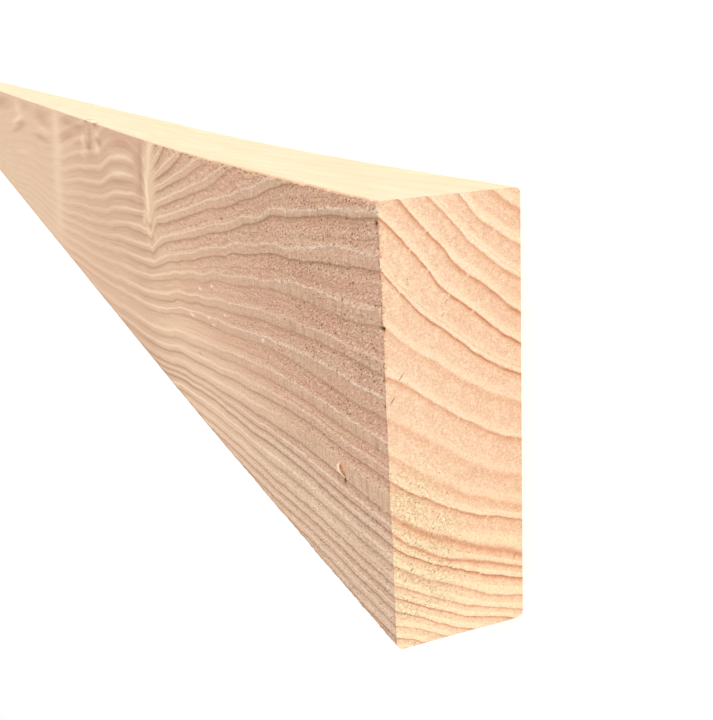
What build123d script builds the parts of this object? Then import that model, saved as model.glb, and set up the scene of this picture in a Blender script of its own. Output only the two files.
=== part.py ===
from build123d import *
import math
import os

# One sawn softwood plank, lying on a wide face.
# X runs across the plank's width, Y along its length, Z through its thickness.
# The origin is under the middle of the bounding box, on the resting face.

# driving dimensions, in mm
width = 145.0  # finished width, across the wide faces
thickness = 47.0  # finished thickness
length = 2400.0  # cut length, measured along the middle of the plank

# a slight crook: the last stretch before the near end (-Y) curves towards +X
crook_length = 380.0
crook_radius = 14000.0

# arris radii: the four long edges are eased by different amounts
arris_upper_plus_x = 0.5  # nearly sharp
arris_lower_plus_x = 1.6
arris_upper_minus_x = 2.5
arris_lower_minus_x = 3.0

# derived dimensions
crook_angle = crook_length / crook_radius  # radians turned by the curved stretch
crook_degrees = math.degrees(crook_angle)
run_length = length - crook_length  # the straight stretch
inner_radius = crook_radius - width / 2  # +X edge of the curved stretch
outer_radius = crook_radius + width / 2  # -X edge of the curved stretch

# extents with the straight run's middle line on X = 0 and the bend starting at Y = 0
x_low = -width / 2
x_high = crook_radius - inner_radius * math.cos(crook_angle)
y_low = -outer_radius * math.sin(crook_angle)
y_high = run_length
shift_x = -(x_low + x_high) / 2
shift_y = -(y_low + y_high) / 2

# corners of the outline, seen from above
run_x = shift_x  # middle line of the straight run
bend_y = shift_y  # where the curve starts
far_y = shift_y + run_length  # far end
center_x = shift_x + crook_radius  # centre of the curve
near_minus = (
    center_x - outer_radius * math.cos(crook_angle),
    bend_y - outer_radius * math.sin(crook_angle),
)
near_plus = (
    center_x - inner_radius * math.cos(crook_angle),
    bend_y - inner_radius * math.sin(crook_angle),
)

with BuildPart() as plank:
    with BuildSketch(Plane.XY) as outline:
        with BuildLine() as edge_line:
            Line((run_x + width / 2, far_y), (run_x - width / 2, far_y))
            Line((run_x - width / 2, far_y), (run_x - width / 2, bend_y))
            CenterArc((center_x, bend_y), outer_radius, 180, crook_degrees)
            Line(near_minus, near_plus)
            CenterArc((center_x, bend_y), inner_radius, 180, crook_degrees)
            Line((run_x + width / 2, bend_y), (run_x + width / 2, far_y))
        make_face()
    extrude(amount=thickness)

    # long arrises, picked by height and side; the two end cuts stay sharp
    def long_arris(side, level):
        chosen = []
        for e in plank.edges():
            middle = e @ 0.5
            at_level = abs(middle.Z - level) < 0.01
            on_side = (middle.X - run_x) * side > width / 2 - 1.0
            if at_level and on_side and e.length > width + 1:
                chosen.append(e)
        return chosen

    fillet(long_arris(1, thickness), radius=arris_upper_plus_x)
    fillet(long_arris(1, 0.0), radius=arris_lower_plus_x)
    fillet(long_arris(-1, thickness), radius=arris_upper_minus_x)
    fillet(long_arris(-1, 0.0), radius=arris_lower_minus_x)

plank.part.label = "plank"

os.makedirs("parts", exist_ok=True)
export_step(plank.part, "parts/plank.step")

box = plank.part.bounding_box()
print("size", box.size, "low", box.min, "high", box.max)
print("volume mm3", plank.part.volume, "valid", plank.part.is_valid)
print("bend_y", bend_y, "run_x", run_x, "near corners", near_minus, near_plus)
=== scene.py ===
"""Sawn softwood plank, lying flat: one dense piece stands for the CAD plank, with procedural wood."""

import math

import bpy
import numpy as np
from mathutils import Matrix


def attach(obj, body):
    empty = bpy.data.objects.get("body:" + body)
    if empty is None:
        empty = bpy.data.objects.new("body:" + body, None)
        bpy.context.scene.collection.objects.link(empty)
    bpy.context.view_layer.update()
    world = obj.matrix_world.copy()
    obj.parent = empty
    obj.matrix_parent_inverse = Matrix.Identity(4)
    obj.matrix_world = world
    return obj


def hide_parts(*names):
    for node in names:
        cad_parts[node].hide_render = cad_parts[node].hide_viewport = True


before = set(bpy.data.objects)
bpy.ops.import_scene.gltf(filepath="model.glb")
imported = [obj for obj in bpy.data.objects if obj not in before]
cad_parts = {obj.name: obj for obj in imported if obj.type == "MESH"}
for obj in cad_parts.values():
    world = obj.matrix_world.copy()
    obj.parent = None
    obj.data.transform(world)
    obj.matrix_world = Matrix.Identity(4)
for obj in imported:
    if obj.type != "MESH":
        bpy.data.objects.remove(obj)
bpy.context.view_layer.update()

# ---------------------------------------------------------------- camera
# Focal length and place were worked out from the plank's corners in a 713 x 720 picture.
FOCAL_PX = 1020.351
cam_data = bpy.data.cameras.new("camera")
cam_data.sensor_width = 36.0
cam_data.sensor_fit = "AUTO"
cam_data.lens = 36.0 * FOCAL_PX / 720.0
cam_data.clip_start = 0.05
cam_data.clip_end = 80.0
camera = bpy.data.objects.new("camera", cam_data)
bpy.context.scene.collection.objects.link(camera)
RIGHT = (-0.03926656, -0.38592707, -0.92169324)
UP = (0.95419782, 0.25930335, -0.14922562)
BACK = (0.29658835, -0.88533726, 0.35806882)
AT = (0.11835077, -1.46368776, 0.16340441)
camera.matrix_world = Matrix([
    (RIGHT[0], UP[0], BACK[0], AT[0]),
    (RIGHT[1], UP[1], BACK[1], AT[1]),
    (RIGHT[2], UP[2], BACK[2], AT[2]),
    (0, 0, 0, 1),
])
bpy.context.scene.camera = camera

# ---------------------------------------------------------------- the plank's own coordinates
# s runs from the near end along the middle line, v down the width from the +X edge, w in from the +Z face, all in mm.
LENGTH, WIDTH, THICK = 2400.0, 145.0, 47.0
CROOK_LENGTH, CROOK_RADIUS = 380.0, 14000.0
RUN_X, BEND_Y = -2.5650656, -819.0395213
R_A, R_B, R_C, R_D = 0.5, 2.5, 3.0, 1.6  # arris radii, round from v=0 w=0: +X+Z, -X+Z, -X-Z, +X-Z


def place(s, v, w):
    """Plank coordinates in mm to the row frame in metres."""
    a = np.clip((CROOK_LENGTH - s) / CROOK_RADIUS, 0, None)
    r = CROOK_RADIUS - WIDTH / 2 + v
    x = np.where(s < CROOK_LENGTH, RUN_X + CROOK_RADIUS - r * np.cos(a), RUN_X + WIDTH / 2 - v)
    y = np.where(s < CROOK_LENGTH, BEND_Y - r * np.sin(a), BEND_Y + s - CROOK_LENGTH)
    return np.stack([x, y, THICK - w], -1) / 1000.0


# ---------------------------------------------------------------- seeded noise
_rng = np.random.RandomState(11)
_PERM = np.concatenate([_rng.permutation(256)] * 3)
_GRAD = _rng.normal(size=(256, 3))
_GRAD /= np.linalg.norm(_GRAD, axis=1)[:, None]


def noise(x, y, z=0.0):
    """Gradient noise, about -1 to 1."""
    x, y, z = np.broadcast_arrays(*(np.asarray(a, float) for a in (x, y, z)))
    xi, yi, zi = (np.floor(a).astype(int) for a in (x, y, z))
    xf, yf, zf = x - xi, y - yi, z - zi
    u, t, q = (a * a * a * (a * (a * 6 - 15) + 10) for a in (xf, yf, zf))

    def corner(i, j, k):
        h = _PERM[_PERM[_PERM[(xi + i) & 255] + ((yi + j) & 255)] + ((zi + k) & 255)]
        g = _GRAD[h]
        return g[..., 0] * (xf - i) + g[..., 1] * (yf - j) + g[..., 2] * (zf - k)

    def mixed(k):
        a = corner(0, 0, k) * (1 - u) + corner(1, 0, k) * u
        b = corner(0, 1, k) * (1 - u) + corner(1, 1, k) * u
        return a * (1 - t) + b * t

    return 1.7 * (mixed(0) * (1 - q) + mixed(1) * q)


def step(x, a, b):
    """Smooth step from 0 at a to 1 at b."""
    t = np.clip((x - a) / (b - a), 0, 1)
    return t * t * (3 - 2 * t)


# ---------------------------------------------------------------- growth rings
# Where each dark ring line crosses the near end, as (w, v) points in mm.
END_RINGS = [
    [(37.5, 0.5), (42, 4.5), (47, 7.5)],
    [(25.5, 0), (29, 4.5), (33, 9), (38, 12), (42, 15), (47, 18)],
    [(15.5, 0), (20, 4.5), (25, 10), (29, 15), (35, 20), (40, 24), (47, 28.5)],
    [(6, 0), (10, 4.5), (15, 10), (20, 15.5), (23, 20), (28, 24.5), (32, 27), (38, 32), (42, 36), (47, 39.5)],
    [(0, 5), (5, 10), (10, 15.5), (15, 21.5), (18, 26), (22, 30), (26, 33), (30, 36), (35, 40.5), (40, 45), (47, 49)],
    [(0, 20), (5, 27), (8, 30.5), (12, 35), (18, 39.5), (25, 45), (30, 49.5), (35, 53), (40, 56), (47, 59)],
    [(0, 37), (5, 42), (10, 46), (15, 49.5), (20, 53), (25, 57), (30, 60), (35, 63.5), (40, 66), (47, 69)],
    [(0, 52.5), (5, 55.5), (10, 59), (15, 63), (20, 66.5), (25, 70), (30, 73), (35, 76.5), (40, 79), (47, 81)],
    [(0, 66), (5, 69.5), (10, 73), (15, 76), (20, 79.5), (25, 84), (30, 87), (36, 90), (47, 94)],
    [(0, 78), (10, 85.5), (15, 89), (20, 92), (26, 96.5), (33, 99), (40, 101.5), (47, 104.5)],
    [(0, 86), (5, 90), (10, 93), (15, 96), (20, 99.5), (25, 102), (30, 103.8), (37, 105.5), (42, 107.3), (47, 109)],
    [(0, 98), (5, 102.5), (10, 106), (15, 108.5), (20, 110.5), (25, 113), (30, 115.5), (35, 117.3), (40, 119), (47, 122)],
    [(0, 104), (5, 109), (10, 112), (15, 115), (20, 117.5), (25, 119), (30, 120.5), (35, 122), (40, 124), (47, 126.5)],
    [(0, 108), (5, 112.5), (10, 115), (15, 117.8), (20, 120), (25, 122.5), (30, 124.3), (33, 125.8), (38, 127.3), (42, 129), (47, 131)],
    [(0, 115), (5, 118.5), (10, 121.5), (15, 124), (20, 126.5), (25, 129), (30, 131.5), (35, 134), (40, 135.5), (47, 137)],
    [(0, 121.5), (5, 124.5), (10, 127), (15, 130), (20, 132.5), (25, 135), (30, 136.5), (35, 138.5), (40, 140), (47, 142.5)],
    [(0, 126), (5, 128.8), (10, 131.5), (15, 134.5), (20, 136.5), (25, 139), (30, 140.5), (35, 142), (42, 144)],
    [(0, 131), (5, 133.5), (10, 136), (15, 139), (20, 141.5), (25, 143.5)],
    [(0, 136), (5, 138), (10, 140.5), (15, 143)],
    [(0, 140.5), (5, 142.5), (10, 145)],
]
# How far each line has moved down the +Z face every 20 mm along it.
FACE_LINES = {
    4: [-7, -5, -3, -1.2, 0.8, 4, 9, 12.5, 17, 20, 23, 27, 31, 35, 39, 43, 45.5, 53.5, 58.5, 59, 61, 62.5, 64.5, 68],
    5: [5, 7, 8.2, 11.0, 13.2, 15.4, 20, 23.5, 28.5, 32, 35.5, 40, 43.5, 47, 51, 54.5, 60, 66, 69, 71, 73, 75, 76.5, 78],
    6: [20, 22, 24.3, 26.7, 28.7, 30, 32.5, 36, 38.5, 43, 46, 50, 55, 58, 62, 66, 71, 76, 79, 80.5, 82.5, 84.5, 86, 88.5],
    7: [37.5, 40.5, 41.5, 42.2, 43, 44.5, 47, 50, 53, 55.5, 58, 63, 65, 69, 72, 76.5, 81, 84.5, 88, 91.5, 94, 96, 98, 99.5],
    8: [52.5, 53, 53.5, 54.5, 56.3, 58.5, 60.5, 63, 66, 68.5, 71, 74.5, 77, 80.5, 83, 88, 92, 96, 99, 102, 104, 106, 108, 110],
    9: [67, 68.5, 69, 69.3, 69.5, 70.3, 72, 74.5, 77.5, 80, 82, 84, 86.5, 89, 92, 96, 101, 105, 108],
    10: [78, 79.5, 79.8, 80.5, 81.3, 83, 85, 87.5, 89.5, 92.5, 96, 98.3, 101, 104, 106.5, 110],
    11: [85.5, 86.3, 88, 88.3, 89.5, 91.3, 93.3, 96, 98.5, 101, 104, 106.5, 109, 112],
    12: [99, 100, 100.5, 101, 102, 103.8, 105.5, 108, 110, 112, 114.5],
    13: [103, 104, 105, 105.8, 106.7, 108, 109.3, 111.5, 113.3, 115, 117, 119],
    14: [107.5, 109, 109.8, 110.3, 111, 112.5, 114, 116.5, 118, 119.5, 121],
    15: [114, 115.5, 116.5, 117.3, 118.7, 120.5, 122.5, 124],
}
FIRST, LAST = -15, 27  # ring numbers used, with the ones read from the end being 1 to 20
STATIONS = np.arange(0, 461, 20.0)
FAR_S = [460, 500, 560, 600, 660, 700, 740, 800, 900, 1000, 1100, 1200, 1300, 1500, 2400]
FAR_V = [0, 6, 13, 17.5, 22, 25, 29, 33, 37, 41, 46, 52, 58, 65, 78]
DIP = {-1: 6.0, 0: 10.0, 1: 11.0, 2: 9.0, 3: 7.5, 4: 4.0, 5: 1.0}
WAVE = {-3: 1.0, -2: 1.0, -1: 1.0, 0: 1.0, 1: 0.9, 2: 0.6, 3: 0.4, 4: 0.2}


def _shifts():
    """{ring: how far the ring has moved down at each of STATIONS}."""
    got = {}
    for k in range(4, 16):
        t = list(FACE_LINES[k])
        while len(t) < len(STATIONS):
            i = len(t)
            t.append(t[-1] + 0.97 * (got[k - 1][i] - got[k - 1][i - 1]))
        got[k] = np.array(t) - t[0]
    for k in range(16, LAST + 1):
        got[k] = got[15] * 0.985 ** (k - 15)
    # the lines that only come onto the face farther along
    seen = {3: [(155, 0), (160, 3), (180, 10), (200, 14.5), (220, 18.5), (240, 22), (260, 26), (280, 30), (300, 33.5), (320, 38), (340, 43), (360, 48), (380, 50), (400, 52), (420, 54), (440, 56.5), (460, 58.5)],
            2: [(190, 0), (200, 3), (220, 7.5), (240, 12), (260, 16.5), (280, 20.5), (300, 25), (320, 28.5), (340, 34.5), (360, 40), (380, 41), (400, 42), (420, 44), (440, 46), (460, 48)],
            1: [(238, 0), (260, 7.5), (280, 13.5), (300, 18), (320, 22.5), (340, 27.5), (360, 30.5), (380, 29.5), (400, 30.5), (420, 32), (440, 34), (460, 36)],
            0: [(285, 0), (300, 8.5), (320, 15), (340, 18.5), (360, 21.5), (380, 19.5), (400, 19.5), (420, 20.5), (440, 22), (460, 24)],
            -1: [(306, 0), (320, 7), (340, 10), (360, 11), (380, 8), (400, 7), (420, 8), (440, 9.5), (460, 11)]}
    start = {3: -15.5, 2: -26, 1: -37, 0: -50, -1: -63}
    for k, line in seen.items():
        x, y = np.array(line, float).T
        x, y = np.concatenate([[0], x]), np.concatenate([[start[k]], y])
        got[k] = np.interp(STATIONS, x, y) - start[k]
    for k in range(-2, FIRST - 1, -1):
        got[k] = got[-1] + 0.4 * (-1 - k)
    return got


SHIFTS = _shifts()


def ring_end(k, w):
    """Height v at which ring k crosses the near end at depth w."""
    if k < 1:
        return ring_end(1, w) - 12.4 * (1 - k)
    if k > 20:
        return ring_end(20, w) + 4.3 * (k - 20)
    x, y = np.array(END_RINGS[k - 1], float).T
    lo = np.where(w < x[0], (w - x[0]) * 1.0, 0)
    up = np.where(w > x[-1], (w - x[-1]) * 0.5, 0)
    return np.interp(w, x, y) + lo + up


def shift(k, s):
    """How far ring k has moved down at station s."""
    base = np.interp(s, STATIONS, SHIFTS[k])
    # past the last station the lines keep going down, the upper ones faster
    far = np.interp(s, FAR_S, FAR_V) * (1.12 - 0.035 * min(max(k, -2), 14))
    sway = step(s, 640, 1000) * (2.0 * np.sin((s - 700) / 97.0 + 0.12 * k) + 2.4 * np.sin((s - 300) / 231.0 + 0.05 * k))
    # all of them are drawn down at the knot
    dip = DIP.get(k, 0.0) * np.exp(-(((s - 341.0) / 9.0) ** 2))
    # and wave past it, most of all along the upper arris
    wave = WAVE.get(k, 0.0) * (2.4 * np.exp(-(((s - 520.0) / 30.0) ** 2)) - 1.6 * np.exp(-(((s - 625.0) / 34.0) ** 2)) + 1.6 * np.exp(-(((s - 725.0) / 30.0) ** 2)))
    return base + far + sway + dip + wave


def ring_field(s, v, w):
    """(ring number as a smooth field, local ring spacing in mm) at points of the plank."""
    shape = s.shape
    s, v, w = s.ravel(), v.ravel(), w.ravel()
    # waviness of the grain, the same all through the wood
    v = v + 0.55 * noise(s / 23.0, v / 14.0, w / 16.0) + 0.25 * noise(s / 8.0, v / 5.0, w / 6.0 + 9) * step(s, 0, 30)
    ks = np.arange(FIRST, LAST + 1)
    lines = np.empty((len(ks), len(s)))
    for i, k in enumerate(ks):
        lines[i] = ring_end(int(k), w) + shift(int(k), s)
        if i:
            lines[i] = np.maximum(lines[i], lines[i - 1] + 1.6)
    at = np.clip((lines <= v).sum(0) - 1, 0, len(ks) - 2)
    n = np.arange(len(s))
    a, b = lines[at, n], lines[at + 1, n]
    phase = ks[at] + (v - a) / (b - a)
    mid = 0.5 * (lines[1:] + lines[:-1])
    # spacing, read between the middles so that it is smooth
    j = np.clip((mid <= v).sum(0) - 1, 0, len(ks) - 3)
    g0, g1 = lines[j + 1, n] - lines[j, n], lines[j + 2, n] - lines[j + 1, n]
    m0, m1 = mid[j, n], mid[j + 1, n]
    gap = g0 + (g1 - g0) * np.clip((v - m0) / (m1 - m0), 0, 1)
    return phase.reshape(shape), gap.reshape(shape)


# Ring by ring from 1: how dark the line is, how soft, the glow under it, the pale band over it, the hairline in that band.
LINE_LOOK = {
    1: (0.50, 1.6, 0.9, 0.6, 0.0), 2: (0.45, 1.0, 0.6, 1.0, 0.6), 3: (0.55, 0.9, 0.6, 1.0, 0.8), 4: (0.80, 1.3, 1.0, 1.0, 0.2),
    5: (1.00, 0.8, 0.8, 1.0, 0.1), 6: (0.95, 0.7, 0.5, 1.0, 1.0), 7: (0.20, 1.9, 0.8, 0.8, 0.0), 8: (0.55, 1.0, 0.8, 0.8, 0.2),
    9: (0.16, 2.6, 0.8, 0.6, 0.0), 10: (0.18, 2.4, 0.8, 0.6, 0.0), 11: (0.80, 0.8, 0.5, 0.9, 0.3), 12: (0.60, 2.2, 1.2, 0.6, 0.0),
    13: (0.70, 1.9, 1.1, 0.6, 0.0), 14: (1.00, 1.3, 1.2, 0.7, 0.0), 15: (0.45, 1.2, 0.8, 0.8, 0.0), 16: (0.60, 1.1, 0.7, 0.8, 0.0),
    17: (0.80, 1.0, 0.6, 0.8, 0.0), 18: (0.75, 1.0, 0.7, 0.8, 0.0), 19: (0.45, 1.0, 0.5, 0.8, 0.0), 20: (0.80, 0.9, 0.6, 0.8, 0.0),
    21: (0.35, 1.0, 0.6, 0.8, 0.0), 22: (0.95, 0.9, 0.6, 0.8, 0.0), 23: (0.45, 1.2, 0.6, 0.8, 0.0), 24: (1.00, 0.9, 0.6, 0.8, 0.0),
}


# How many times its usual height the raised band over a line has, as (s, times).
TALL = {5: [(0, 0.55), (60, 0.6), (95, 0.7), (113, 0.5), (150, 0.9)], 6: [(0, 1.1), (10, 1.15), (25, 1.3), (38, 1.55), (60, 1.1), (86, 0.8), (115, 0.95)],
        7: [(0, 1.1), (20, 1.2), (40, 1.4), (63, 1.3), (89, 1.1), (119, 0.75), (150, 0.95)], 9: [(0, 1.7), (30, 1.7), (110, 1.0)], 12: [(0, 1.9), (70, 1.8), (150, 1.0)]}
# How bright the painted highlight on the crest of each raised band is on the +Z face.
CREST_HIGHLIGHT = {5: 0.85, 6: 0.8, 7: 0.7, 8: 0.4, 10: 0.75, 11: 0.6, 12: 0.08, 13: 1.1, 14: 0.6, 15: 0.9, 16: 0.3, 17: 0.25, 18: 0.8, 19: 0.4, 20: 0.25, 21: 0.6, 22: 0.2, 23: 0.5, 24: 0.3}


def band_look(phase, s):
    """(brightness of the painted crest highlight, how many times its usual height the raised band has)."""
    ks = np.arange(FIRST, LAST + 1)
    crest_highlight = np.interp(phase + 0.35, ks, [CREST_HIGHLIGHT.get(int(k), 0.9) for k in ks])
    crest_highlight = crest_highlight + (0.9 - crest_highlight) * step(s, 90, 170) * np.exp(-(((phase - 7.7) / 0.5) ** 2))
    tall = np.ones_like(phase + s)
    for k, line in TALL.items():
        x, y = np.array(line, float).T
        tall = np.where((phase > k - 0.72) & (phase <= k + 0.28), np.interp(s, x, y), tall)
    return crest_highlight, tall


def line_look(phase):
    """The five numbers of LINE_LOOK, smooth over the field."""
    ks = np.arange(FIRST, LAST + 1)
    rows = np.array([LINE_LOOK.get(int(k), (0.55 + 0.25 * math.sin(2.4 * k), 1.0 + 0.4 * math.sin(1.7 * k), 0.65, 0.85, 0.2)) for k in ks])
    return [np.interp(phase, ks, rows[:, i]) for i in range(5)]


# ---------------------------------------------------------------- knots and stains on the +Z face
# (s, v, half length along s, half height along v, slope dv/ds, lean ds/dv, pale > 0 or dark < 0, pink)
BLOTCHES = [
    (330, 12, 4.6, 15, 0, 0.74, 0.5, 0), (343, 34, 4.0, 15, 0, 0.10, 0.8, 0), (330, 24, 14, 26, 0, 0.38, 0.25, 0), (320, 3, 6, 6, 0, 0.4, 0.25, 0),
    (357, 22, 7, 19, 0, 0.3, -0.6, 0), (349, 7, 6, 6, 0, 0.4, -0.3, 0), (366, 14, 9, 6, 0, 0, -0.2, 0.8), (371, 33, 8, 5, 0, 0, -0.1, 0.7),
    (357, 48, 9, 3.0, 0.4, 0, 0.5, 0), (341, 50.5, 4, 2.2, 0, 0, -0.5, 0), (348, 56, 9, 1.6, 0, 0, 0.45, 0), (330, 55, 8, 2.0, -0.5, 0, 0.3, 0),
    (410, 6.5, 44, 4.5, 0.03, 0, -0.25, 0.8), (415, 15.5, 40, 2.5, 0.05, 0, 0.45, 0), (430, 27.5, 36, 1.8, 0.07, 0, 0.45, 0), (440, 35, 34, 1.8, 0.07, 0, -0.35, 0),
    (515, 0, 9, 2.6, 0, 0, -1.3, 0), (504, 13, 11, 3.0, -0.05, 0, -0.7, 0), (512, 8, 12, 2.6, 0, 0, 0.5, 0), (517, 18, 12, 4.0, 0, 0, 0.6, 0),
    (560, 0, 9, 2.0, 0, 0, -1.1, 0), (557, 20, 11, 3.5, 0, 0, -0.7, 0), (546, 11, 7, 8, 0, 0.4, -0.5, 0), (586, 17, 12, 6, 0, 0.3, 0.55, 0), (594, 28, 16, 4, 0, 0, 0.25, 0),
    (682, 20.5, 52, 4.6, 0.09, 0, -0.25, 0.9), (600, 8, 26, 4.0, 0, 0, -0.2, 0.5), (672, 7, 46, 3.6, 0, 0, -0.45, 0), (672, 26.5, 50, 2.2, 0.13, 0, 0.4, 0),
    (785, 60, 40, 66, 0, 0.62, 0.34, 0), (756, 14, 24, 16, 0, 0.3, 0.22, 0), (745, 36, 36, 3.0, 0.10, 0, 0.3, 0), (880, 12, 60, 9, 0, 0, -0.35, 0.5), (1040, 8, 60, 6, 0, 0, -0.2, 0.3), (1150, 16, 40, 9, 0, 0.6, 0.35, 0),
    (880, 25, 60, 3.2, 0.0, 0, 0.4, 0), (900, 36, 70, 3.4, 0.01, 0, -0.4, 0.4), (1180, 30, 80, 3.2, 0.10, 0, 0.7, 0), (1130, 33, 60, 4.0, 0.06, 0, -0.45, 0.4), (1190, 43, 80, 3.4, 0.09, 0, -0.5, 0), (1150, 68, 90, 3.0, 0.06, 0, 0.35, 0),
    (1420, 16, 160, 9, 0.03, 0, -0.4, 0.5),
]


# Where the lines on the +Z face fade out: s, v, half length, half height, lean ds/dv, how much.
HUSHED = [(331, 22, 16, 30, 0.42, 0.9), (364, 18, 17, 22, 0.35, 0.75), (430, 4, 62, 11, 0.0, 0.55), (396, 17, 34, 17, 0.0, 0.34), (585, 92, 190, 42, 0.0, 0.42), (532, 8, 44, 15, 0.0, 0.85), (680, 6, 78, 11, 0.0, 0.6), (790, 55, 30, 90, 0.62, 0.7), (1010, 10, 200, 14, 0.0, 0.5)]


def hush_field(s, v):
    left = np.ones_like(s)
    for s0, v0, ls, lv, lean, much in HUSHED:
        x, y = (s - s0 - lean * (v - v0)) / ls, (v - v0) / lv
        left = left * (1 - much * np.exp(-(x ** 4) - y ** 4))
    return 1 - left * (1 - 0.70 * step(s, 740, 900))


def blotch_fields(s, v):
    pale, pink = np.zeros_like(s), np.zeros_like(s)
    for s0, v0, ls, lv, slope, lean, p, r in BLOTCHES:
        b = np.exp(-(((s - s0 - lean * (v - v0)) / ls) ** 2 + ((v - v0 - slope * (s - s0)) / lv) ** 2))
        pale += p * b
        pink += r * b
    return pale, pink


# ---------------------------------------------------------------- mesh
def outline():
    """The section once round: rows of v, w, outward normal v and w, face (0 = +Z, 1 = -X, 2 = -Z, 3 = +X)."""
    rows = []
    fine = np.array([0, 0.3, 0.65, 1.05, 1.5, 2.1, 2.9])

    def arc(cv, cw, r, a0, n, face):
        for i in range(1, n + 1):
            a = math.radians(a0 + 90.0 * i / (n + 1))
            rows.append((cv + r * math.cos(a), cw + r * math.sin(a), math.cos(a), math.sin(a), face))

    for v in np.concatenate([R_A + fine, np.linspace(R_A + 3.9, WIDTH - R_B - 1.6, 137), [WIDTH - R_B - 0.7, WIDTH - R_B]]):
        rows.append((v, 0.0, 0.0, -1.0, 0))
    arc(WIDTH - R_B, R_B, R_B, -90, 3, 0)
    for w in np.linspace(R_B, THICK - R_C, 15):
        rows.append((WIDTH, w, 1.0, 0.0, 1))
    arc(WIDTH - R_C, THICK - R_C, R_C, 0, 3, 2)
    for v in np.linspace(WIDTH - R_C, R_D, 50):
        rows.append((v, THICK, 0.0, 1.0, 2))
    arc(R_D, THICK - R_D, R_D, 90, 2, 3)
    for w in np.concatenate([np.linspace(THICK - R_D, R_A + 3.9, 37), (R_A + fine)[::-1]]):
        rows.append((0.0, w, -1.0, 0.0, 3))
    arc(R_A, R_A, R_A, 180, 2, 3)
    return np.array(rows, float)


def stations():
    at, ds = [0.0, 0.35], 0.9
    while at[-1] < LENGTH:
        s = at[-1]
        ds = 0.9 + 0.0125 * max(0.0, min(s, 620.0) - 45.0) + 0.03 * max(0.0, s - 620.0)
        ds = min(ds, 2.8 if 318 < s < 366 else 99.0)
        at.append(s + ds)
    at = np.array(at)
    k = np.searchsorted(at, 600.0)
    at[k:] = at[k] + (at[k:] - at[k]) * (LENGTH - at[k]) / (at[-1] - at[k])
    at = np.append(at[:-1], [LENGTH - 0.5, LENGTH])
    return at[np.concatenate([[True], np.diff(at) > 0.2])]


def ridge(d, gap, tall=1.0):
    """Height in mm of the raised hard bands on a sawn face, from the distance to the nearest dark line (negative above it)."""
    k = np.clip(gap / 10.0, 0.35, 1.0)
    u = np.where(d < 0, d / k / tall, d / k)
    return k * (step(u, -5.2, -3.6) * (1 - step(u, -0.5, 0.7)))


SEC = outline()
ST = stations()
nc, ns = len(SEC), len(ST)
S = np.repeat(ST[:, None], nc, 1)
V0, W0 = np.repeat(SEC[None, :, 0], ns, 0), np.repeat(SEC[None, :, 1], ns, 0)
NV, NW, FACE = (np.repeat(SEC[None, :, i], ns, 0) for i in (2, 3, 4))
phase, gap = ring_field(S, V0, W0)
share = np.mod(phase + 0.4, 1.0) - 0.4   # -0.4 to 0.6 of a ring, 0 on the dark line
share = np.where(share > 0.42, share - 1.0, share)
d_line = share * gap
crest_highlight_k, tall = band_look(phase, S)

on_top = np.clip(-NW, 0, 1)           # +Z face
on_bottom = np.clip(NW, 0, 1)
on_edge = np.clip(np.abs(NV), 0, 1)
away = step(S, 0, 6)                  # the relief starts behind the cut end
fade = (1 - 0.75 * step(S, 240, 620)) * (1 - hush_field(S, V0))
lift = np.zeros_like(S)
lift += on_top * fade * 0.20 * ridge(d_line, gap, tall) * (0.6 + 0.4 * away) * (1 + 0.5 * noise(S / 6.0, V0 / 3.0, 6.1))
rough = 0.20 * noise(S / 2.6, V0 / 1.9, 3.3) + 0.16 * noise(S / 1.7, V0 / 1.3, 7.7)
lift += on_top * away * rough * (1 - 0.75 * ridge(d_line, gap, tall)) * (1 - step(S, 120, 320))
lift += on_top * 0.10 * np.sin(2 * math.pi * (S + 2.0 * noise(S / 40.0, V0 / 30.0, 1.0)) / 1.9) * (1 - step(S, 45, 110)) * away
lift += 0.10 * noise(S / 45.0, V0 / 25.0, W0 / 25.0)
lift += on_edge * 0.05 * noise(S / 9.0, V0 / 3.0, W0 / 2.5)
lift += on_bottom * (0.22 * ridge(d_line, gap) - 0.22 + 0.10 * noise(S / 3.0, V0 / 2.2, 5.0)) * away
lift = np.where(on_bottom > 0.3, np.minimum(lift, 0.0), lift)

# the frayed arris between the +Z face and the +X edge
near_arris = np.exp(-((np.hypot(V0, W0) / 1.3) ** 2)) * ((V0 < 6) & (W0 < 6))
fray = np.clip(0.15 + 0.55 * noise(S / 3.1, 4.4, 0.5) + 0.45 * noise(S / 1.3, 8.4, 0.5), 0, 1) * (1 - 0.5 * step(S, 150, 500))
for s0, half, deep in ((6, 1.6, 0.9), (22, 2.2, 0.7), (41, 2.0, 0.9), (66, 3.0, 1.5), (73, 2.0, 1.0), (97, 3.0, 0.8), (131, 4.0, 1.0), (187, 5.0, 0.9)):
    fray = fray + deep * np.exp(-((S - s0) / half) ** 2)
dV = near_arris * fray * 0.55
dW = near_arris * fray * 0.55
for name, cv, cw, depth in (("low", WIDTH, 0.0, 0.5), ("back", 0.0, THICK, 0.4)):
    close = np.exp(-((np.hypot(V0 - cv, W0 - cw) / 2.2) ** 2))
    worn = np.clip(0.2 + 0.6 * noise(S / 7.0, cv + 2.0, 0.7) + 0.4 * noise(S / 2.6, cv + 5.0, 0.7), 0, 1)
    dV = dV + close * worn * depth * (0.5 if cv == 0 else -0.5)
    dW = dW + close * worn * depth * (0.5 if cw == 0 else -0.5)

lift -= on_top * 1.1 * np.exp(-(((S - 0.5) / 2.6) ** 2 + ((V0 - 37.8) / 0.8) ** 2))
lift -= on_top * 0.5 * np.exp(-(((S - 2.0) / 1.0) ** 2 + ((V0 - 6.6) / 0.9) ** 2))
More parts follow.
